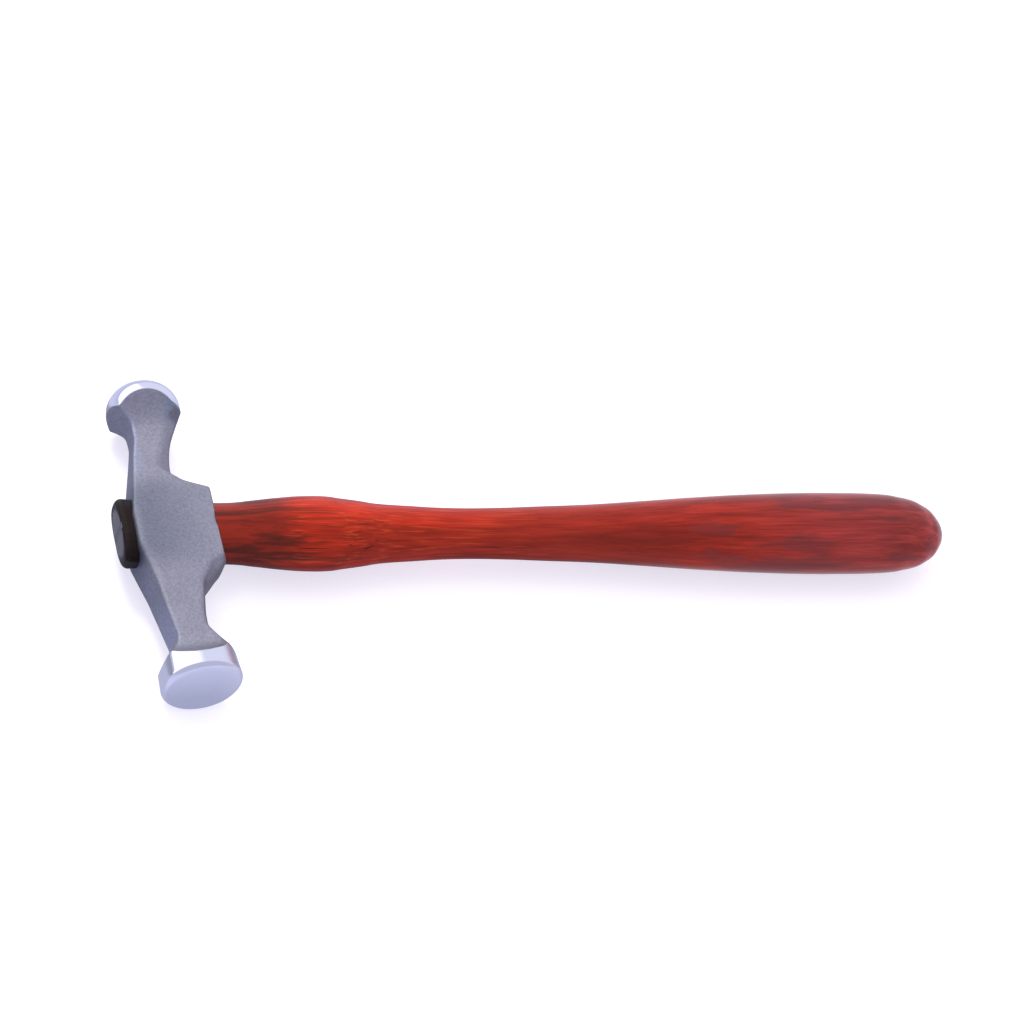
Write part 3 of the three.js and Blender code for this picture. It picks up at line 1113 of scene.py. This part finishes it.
@dataclass
class HammerHandle:
    """The turned grip, joined to the tenon that fills the eye, with the two sawn kerfs for the wedges."""

    origin: Vector
    finish: WoodFinish = WoodFinish()
    rings: int = 420
    sides: int = 128
    barrel_sides: int = 180
    end_crowding: float = 1.7
    tip_share: float = 0.999
    merge_reach: float = 0.001

    def grip(self, wood: Material) -> Object:
        """Makes the grip by a rule in Geometry Nodes: a sheet rolled up to a width read off a curve.

        Args:
            wood: the material that the rule sets.

        Returns:
            The grip, as plain mesh.
        """
        group = bpy.data.node_groups.new("turned_grip", "GeometryNodeTree")
        face = group.interface
        face.new_socket(name="Geometry", in_out="OUTPUT", socket_type="NodeSocketGeometry")
        inputs = {
            "Reach": ("NodeSocketFloat", HANDLE.butt_reach * MM),
            "Butt Half": ("NodeSocketFloat", HANDLE.butt_half * MM),
            "Depth Share": ("NodeSocketFloat", HANDLE.depth_share),
            "Tip Share": ("NodeSocketFloat", self.tip_share),
            "End Crowding": ("NodeSocketFloat", self.end_crowding),
            "Rings": ("NodeSocketInt", self.rings),
            "Sides": ("NodeSocketInt", self.sides),
            "Finish": ("NodeSocketMaterial", wood),
        }
        for name, (kind, value) in inputs.items():
            face.new_socket(name=name, in_out="INPUT", socket_type=kind).default_value = value
        tree = Tree(group)
        given = tree.add("NodeGroupInput").outputs
        sheet = tree.add("GeometryNodeMeshGrid", {
            "Size X": 1.0, "Size Y": 1.0, "Vertices X": given["Rings"],
            "Vertices Y": tree.math("ADD", given["Sides"], 1)})
        flat = tree.add("ShaderNodeSeparateXYZ", {0: sheet.outputs["UV Map"]}).outputs
        before = tree.math("SUBTRACT", 1.0, flat[0])
        share = tree.math("SUBTRACT", 1.0, tree.math("POWER", before, given["End Crowding"]))
        half = tree.product(self._width_curve(tree, share), given["Butt Half"])
        # Rolled this way round, the sheet's faces point outwards.
        turn = tree.product(flat[1], -2 * math.pi)
        x = tree.product(share, given["Tip Share"], given["Reach"])
        y = tree.product(half, tree.math("COSINE", turn))
        z = tree.product(half, tree.product(given["Depth Share"], tree.math("SINE", turn)))
        place = tree.add("ShaderNodeCombineXYZ", {0: x, 1: y, 2: z}).outputs[0]
        rolled = tree.add("GeometryNodeSetPosition", {0: sheet.outputs["Mesh"], "Position": place}).outputs[0]
        merge = {0: rolled, "Distance": self.merge_reach * MM}
        closed = tree.add("GeometryNodeMergeByDistance", merge).outputs[0]
        real = tree.add("GeometryNodeRealizeInstances", {0: closed}).outputs[0]
        done = tree.add("GeometryNodeSetMaterial", {0: real, "Material": given["Finish"]}).outputs[0]
        tree.add("NodeGroupOutput", {0: done})
        grip = mesh_object("grip_body", np.zeros((1, 3)), [])
        grip.modifiers.new("turned_grip", "NODES").node_group = group
        bpy.context.view_layer.update()
        plain(grip)
        return grip

    @staticmethod
    def _width_curve(tree: Tree, share: Socket) -> Socket:
        """Adds the curve of the grip's half-width.

        Args:
            tree: the tree.
            share: the socket of the place along the grip.

        Returns:
            The socket of the half-width, as a share of the butt's.
        """
        width = tree.add("ShaderNodeFloatCurve", {"Value": share})
        curve = width.mapping.curves[0]
        width.mapping.extend = "HORIZONTAL"
        stops = [
            (place, part * getattr(HANDLE, size) / HANDLE.butt_half)
            for size, shares in GRIP_SHARES.items()
            for place, part in shares
        ]
        curve.points[0].location = (0.0, 0.0)
        curve.points[1].location = stops[-1]
        for stop in stops[:-1]:
            curve.points.new(*stop)
        width.mapping.update()
        return width.outputs[0]

    def build(self) -> Object:
        """Makes the handle.

        Returns:
            The finished object in the frame.
        """
        wood = self.finish.material(self.origin)
        grip = self.grip(wood)
        turn = np.linspace(0, 2 * math.pi, self.barrel_sides, endpoint=False)
        radius, reach = HEAD.barrel_radius + EYE.fit, 2 * HEAD.barrel_radius
        stack = np.array([
            np.stack([radius * np.cos(turn), np.full(turn.shape, end), radius * np.sin(turn)], axis=1)
            for end in (-reach, reach)])
        barrel = ring_stack("barrel_tool", stack, np.array([0, -reach, 0]), np.array([0, reach, 0]))
        cut(grip, barrel, Cut.TAKE_AWAY)
        handle = tenon_body("wood_handle")
        cut(handle, grip, Cut.JOIN)
        for shape in (TIMBER, STEEL):
            cut(handle, shape.body("kerf_tool", EYE.fit), Cut.TAKE_AWAY)
        return settled(handle, self.origin, wood, Piece.HANDLE)


@dataclass
class Wedges:
    """The timber wedge in the tenon's kerf and the steel wedge across it, both flush with the tenon's end."""

    origin: Vector
    timber: PlainFinish = OILED_END
    steel: PlainFinish = FILED_STEEL
    lacquer: EndLacquerHighlight = EndLacquerHighlight()

    def build(self) -> tuple[Object, Object]:
        """Makes both wedges, the timber one with the same painted lacquer highlight as the tenon round it.

        Returns:
            The timber wedge and the steel wedge, in the frame.
        """
        timber = tenon_body("wood_wedge")
        cut(timber, TIMBER.body("wedge_tool"), Cut.KEEP)
        cut(timber, STEEL.body("kerf_tool", EYE.fit), Cut.TAKE_AWAY)
        made, tree = new_material(Slot.WEDGE_WOOD.value)
        wood = finished(made, tree, self.lacquer.over(tree, self.origin, self.timber.shader(tree)))
        steel = tenon_body("iron_wedge")
        cut(steel, STEEL.body("wedge_tool"), Cut.KEEP)
        made, tree = new_material(Slot.WEDGE_STEEL.value)
        iron = finished(made, tree, self.steel.shader(tree))
        return (
            settled(timber, self.origin, wood, Piece.TIMBER_WEDGE),
            settled(steel, self.origin, iron, Piece.STEEL_WEDGE),
        )


@dataclass(frozen=True)
class AreaLight:
    """One soft light: stand and aim from the middle of the head, in metres, its sides, power and spread."""

    name: str
    stand: tuple[float, float, float]
    aim: tuple[float, float, float]
    sides: tuple[float, float]
    power: float
    spread: float

    def build(self, origin: Vector) -> None:
        """Sets up the light, which has no mirror image in the polished steel.

        Args:
            origin: the frame place of the middle of the head.
        """
        data = bpy.data.lights.new(self.name, "AREA")
        data.shape = "RECTANGLE"
        data.size, data.size_y = self.sides
        data.energy = self.power
        data.spread = self.spread
        lamp = bpy.data.objects.new(self.name, data)
        bpy.context.scene.collection.objects.link(lamp)
        way = Vector(self.aim) - Vector(self.stand)
        lamp.location = origin + Vector(self.stand)
        lamp.rotation_euler = way.to_track_quat("-Z", "Y").to_euler()
        lamp.visible_glossy = False


@dataclass(frozen=True)
class PaperFloor:
    """A white floor that keeps a faint shadow. Its half-size and its places are in the frame's millimetres.

    The camera sees paper mixed with a glow, dimmed close to the hammer as a painted contact shadow. Steel sees
    another glow there as a painted reflection, stronger in front of the flat face, behind the dome and beside
    the handle, and darker and bluer by the head as painted shade.
    """

    half: float = 4000.0
    paper: Colour = (0.86, 0.84, 0.95)
    glow: Colour = (1.86, 1.83, 1.90)
    glow_share: float = 0.42
    painted_contact_shadow: Colour = (1.51, 1.48, 1.67)
    contact_reach: float = 10.5
    contact_samples: int = 8
    contact_clear: Span = Span(0.45, 1.0)
    painted_shade_by_head: Colour = (0.50, 0.53, 0.72)
    by_handle: Colour = (0.90, 0.86, 0.97)
    handle_x: Span = Span(-30, 60)
    front_y: Span = Span(-61.5, -50, 1.18, 0.80)
    eye_y: Span = Span(-30, -12, 1.0, 0.45)
    behind_y: Span = Span(48, 60, 0.0, 1.08)
    mirrored_share: float = 0.80

    def seen(self, tree: Tree, paper: Socket) -> Socket:
        """Makes what the camera sees.

        Args:
            tree: the material's tree.
            paper: the paper's shader.

        Returns:
            The shader socket.
        """
        # Painted contact shadow: the camera's glow dims where the floor is occluded near the hammer.
        reach = {"Distance": self.contact_reach * MM}
        near = tree.add("ShaderNodeAmbientOcclusion", reach, samples=self.contact_samples).outputs["AO"]
        tone = tree.mixed(tree.ranged(near, self.contact_clear), self.painted_contact_shadow, self.glow)
        glow = tree.add("ShaderNodeEmission", {"Color": tone, "Strength": 1.0}).outputs[0]
        return tree.shaded(self.glow_share, paper, glow)

    def mirrored(self, tree: Tree, paper: Socket) -> Socket:
        """Makes what polished steel sees.

        Args:
            tree: the material's tree.
            paper: the paper's shader.

        Returns:
            The shader socket.
        """
        # Painted reflection: a floor glow seen only by glossy rays, darker and bluer by the head as painted
        # shade.
        x, y, _ = tree.places(Vector())
        by_handle = tree.ranged(x, self.handle_x)
        level = tree.product(tree.ranged(y, self.front_y), tree.ranged(y, self.eye_y))
        for other in (tree.ranged(y, self.behind_y), by_handle):
            level = tree.math("MAXIMUM", level, other)
        tint = tree.mixed(by_handle, self.painted_shade_by_head, self.by_handle)
        pale = tree.add("ShaderNodeEmission", {"Color": tint, "Strength": level}).outputs[0]
        return tree.shaded(self.mirrored_share, paper, pale)

    def build(self) -> None:
        """Lays the floor."""
        half = self.half
        corners = np.array([(-half, -half, 0), (half, -half, 0), (half, half, 0), (-half, half, 0)])
        floor = mesh_object("floor", corners, [(0, 1, 2, 3)])
        made, tree = new_material("floor_white")
        path = tree.add("ShaderNodeLightPath").outputs
        paper = tree.add("ShaderNodeBsdfDiffuse", {"Color": opaque(self.paper)}).outputs[0]
        other = tree.shaded(path["Is Glossy Ray"], paper, self.mirrored(tree, paper))
        floor.data.materials.append(
            finished(made, tree, tree.shaded(path["Is Camera Ray"], other, self.seen(tree, paper))))


@dataclass(frozen=True)
class PaleWorld:
    """A world that the camera sees as white, that fills evenly, and that polished steel sees darker in front.

    Spans are of the parts of a direction: towards +Y, and towards +X round that axis.
    """

    dark: Colour = (0.52, 0.53, 0.67)
    pale: Colour = (0.78, 0.79, 0.93)
    white: Colour = (1.3, 1.3, 1.36)
    fill: Colour = (0.71, 0.70, 0.73)
    seen: Colour = (1.0, 1.0, 1.0)
    back: Span = Span(-0.15, 0.45)
    left: Span = Span(-0.35, 0.15, 1.0, 0.0)
    left_back: Span = Span(0.0, 0.35)
    least: float = 0.001

    def build(self) -> None:
        """Sets the world."""
        world = bpy.data.worlds.new("world")
        bpy.context.scene.world = world
        world.use_nodes = True
        world.node_tree.nodes.clear()
        tree = Tree(world.node_tree)
        path = tree.add("ShaderNodeLightPath").outputs
        way = tree.add("ShaderNodeTexCoord").outputs["Generated"]
        x, y, z = tree.add("ShaderNodeSeparateXYZ", {0: way}).outputs
        round_y = tree.math("SQRT", tree.math("ADD", tree.product(x, x), tree.product(z, z)))
        side = tree.math("DIVIDE", x, tree.math("MAXIMUM", round_y, self.least))
        left = tree.product(tree.ranged(side, self.left), tree.ranged(y, self.left_back))
        sky = tree.mixed(tree.ranged(y, self.back), self.dark, self.pale)
        sky = tree.mixed(left, sky, self.white)
        sky = tree.mixed(path["Is Glossy Ray"], self.fill, sky)
        sky = tree.mixed(path["Is Camera Ray"], sky, self.seen)
        shader = tree.add("ShaderNodeBackground", {"Color": sky, "Strength": 1.0}).outputs[0]
        tree.add("ShaderNodeOutputWorld", {0: shader})


@dataclass(frozen=True)
class StudioCamera:
    """The camera, as found by fitting the outlines of the head and the handle.

    It stands in millimetres from the working origin, and its turns are in degrees.
    """

    focal_pixels: float = 3300.0
    picture_pixels: float = 1024.0
    sensor: float = 36.0
    clip: tuple[float, float] = (0.05, 50.0)
    stand: tuple[float, float, float] = (-252.384, -486.173, 665.318)
    turns: tuple[float, float, float] = (38.8198, -18.3618, -14.0629)

    def build(self, origin: Vector) -> None:
        """Sets up the camera.

        Args:
            origin: the frame place of the working origin.
        """
        data = bpy.data.cameras.new("camera")
        data.sensor_width = self.sensor
        data.lens = self.focal_pixels / self.picture_pixels * self.sensor
        data.clip_start, data.clip_end = self.clip
        camera = bpy.data.objects.new("camera", data)
        bpy.context.scene.collection.objects.link(camera)
        camera.location = origin + Vector(self.stand) * MM
        camera.rotation_euler = [math.radians(turn) for turn in self.turns]
        bpy.context.scene.camera = camera


KEY_LIGHT = AreaLight("key", (-0.06, 0.22, 0.27), (0.03, -0.01, 0.0), (0.16, 0.12), 0.12, math.radians(55))


@dataclass
class Studio:
    """Camera, lights, floor and world."""

    origin: Vector
    camera: StudioCamera = StudioCamera()
    lights: tuple[AreaLight, ...] = (KEY_LIGHT,)
    floor: PaperFloor = PaperFloor()
    world: PaleWorld = PaleWorld()

    def build(self) -> None:
        """Sets up everything that isn't the hammer."""
        self.camera.build(self.origin)
        for light in self.lights:
            light.build(self.origin)
        self.floor.build()
        self.world.build()
        bpy.context.scene.view_settings.view_transform = "Standard"


def working_origin() -> Vector:
    """Finds where the handle's axis crosses the head's axis in the frame.

    Returns:
        The place in metres.
    """
    handle_low, handle_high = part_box(Piece.HANDLE.value)
    head_low, head_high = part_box(Piece.HEAD.value)
    return Vector((
        handle_low.x - TENON_END * MM,
        (handle_low.y + handle_high.y) / 2,
        (head_low.z + head_high.z) / 2,
    ))


def main() -> None:
    """Builds the whole scene."""
    logging.basicConfig(level=logging.INFO)
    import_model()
    origin = working_origin()
    for made in (HammerHead(origin).build(), HammerHandle(origin).build(), *Wedges(origin).build()):
        mesh = made.data
        mesh.calc_loop_triangles()
        LOG.info("%s: %d points, %d triangles", made.name, len(mesh.vertices), len(mesh.loop_triangles))
    Studio(origin).build()


if __name__ == "__main__":
    main()
